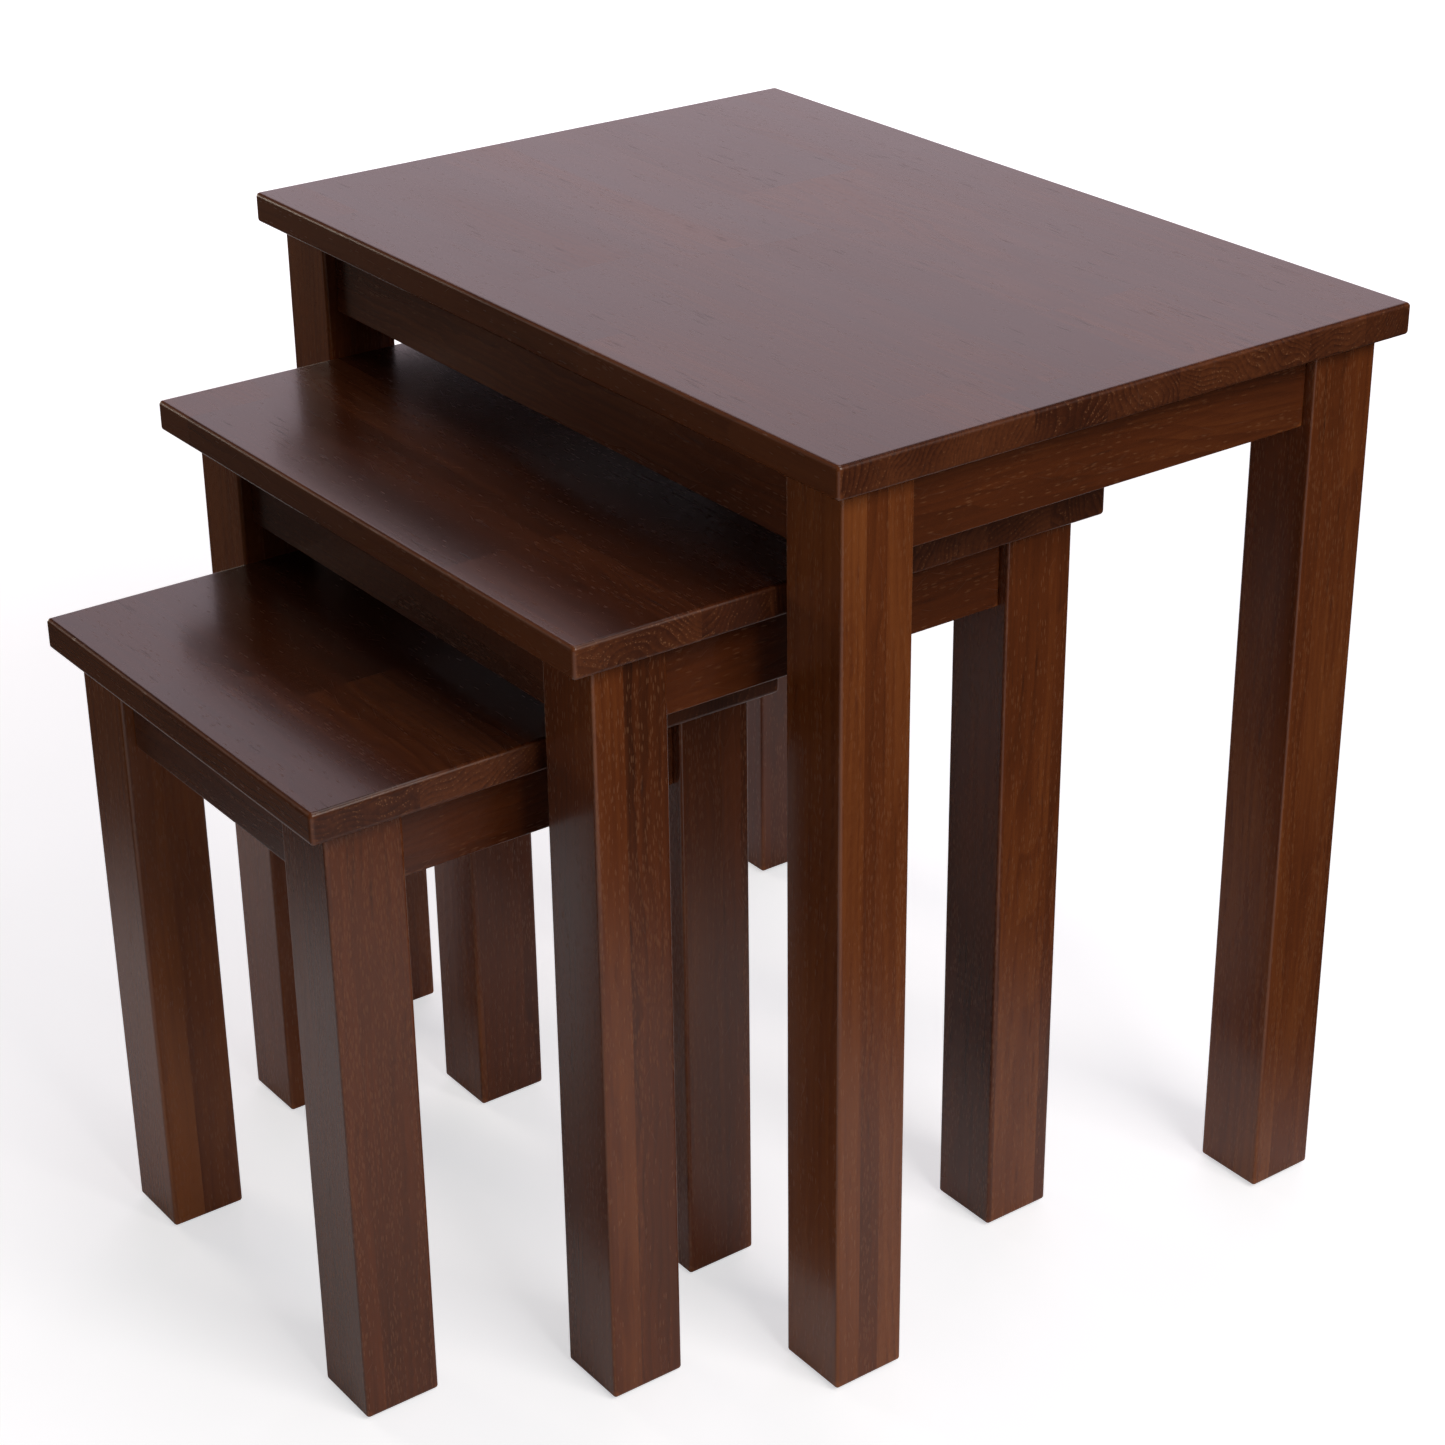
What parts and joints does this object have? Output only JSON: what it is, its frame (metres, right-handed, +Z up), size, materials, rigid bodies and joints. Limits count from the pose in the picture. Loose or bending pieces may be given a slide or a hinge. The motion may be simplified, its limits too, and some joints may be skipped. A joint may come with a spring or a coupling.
{
  "type": "nesting tables",
  "caption": "Nest of solid-wood side tables with slab tops on square legs, each sliding out from between the legs of the next larger one.",
  "frame": {"origin": "on the floor, at the middle of the nest's footprint with the middle and small tables drawn out as stored at rest", "axes": "+X to the right along the long side of the tops, +Y to the back, the large table's side, +Z up; the tables are drawn out towards -Y"},
  "size_m": [0.56, 0.606, 0.55],
  "materials": {
    "walnut_top": "dark walnut stain under satin lacquer, solid staves glued edge to edge",
    "walnut_leg": "dark walnut stain under satin lacquer, laminated square stock",
    "walnut_rail": "dark walnut stain under satin lacquer",
    "plain_block_wood": "stained, unlacquered, sawn",
    "beech_dowel": "bare turned beech",
    "zinc_screw": "bright zinc plated",
    "felt_pad": "pressed dark brown felt"
  },
  "bodies": {
    "large_table": {"large_block_screws": "zinc_screw", "large_corner_block_back_left": "plain_block_wood", "large_corner_block_back_right": "plain_block_wood", "large_corner_block_front_left": "plain_block_wood", "large_corner_block_front_right": "plain_block_wood", "large_dowels": "beech_dowel", "large_felt_pads": "felt_pad", "large_leg_back_left": "walnut_leg", "large_leg_back_right": "walnut_leg", "large_leg_front_left": "walnut_leg", "large_leg_front_right": "walnut_leg", "large_rail_back": "walnut_rail", "large_rail_front": "walnut_rail", "large_rail_left": "walnut_rail", "large_rail_right": "walnut_rail", "large_top": "walnut_top", "large_top_screws": "zinc_screw"},
    "middle_table": {"middle_block_screws": "zinc_screw", "middle_corner_block_back_left": "plain_block_wood", "middle_corner_block_back_right": "plain_block_wood", "middle_corner_block_front_left": "plain_block_wood", "middle_corner_block_front_right": "plain_block_wood", "middle_dowels": "beech_dowel", "middle_felt_pads": "felt_pad", "middle_leg_back_left": "walnut_leg", "middle_leg_back_right": "walnut_leg", "middle_leg_front_left": "walnut_leg", "middle_leg_front_right": "walnut_leg", "middle_rail_back": "walnut_rail", "middle_rail_front": "walnut_rail", "middle_rail_left": "walnut_rail", "middle_rail_right": "walnut_rail", "middle_top": "walnut_top", "middle_top_screws": "zinc_screw"},
    "small_table": {"small_block_screws": "zinc_screw", "small_corner_block_back_left": "plain_block_wood", "small_corner_block_back_right": "plain_block_wood", "small_corner_block_front_left": "plain_block_wood", "small_corner_block_front_right": "plain_block_wood", "small_dowels": "beech_dowel", "small_felt_pads": "felt_pad", "small_leg_back_left": "walnut_leg", "small_leg_back_right": "walnut_leg", "small_leg_front_left": "walnut_leg", "small_leg_front_right": "walnut_leg", "small_rail_back": "walnut_rail", "small_rail_front": "walnut_rail", "small_rail_left": "walnut_rail", "small_rail_right": "walnut_rail", "small_top": "walnut_top", "small_top_screws": "zinc_screw"}
  },
  "joints": [
    {"name": "middle_table_slide", "type": "slide", "parent": "large_table", "child": "middle_table", "axis": [0, -1, 0], "range_m": [-0.127, 0.25]},
    {"name": "small_table_slide", "type": "slide", "parent": "large_table", "child": "small_table", "axis": [0, -1, 0], "range_m": [-0.269, 0.435]}
  ]
}
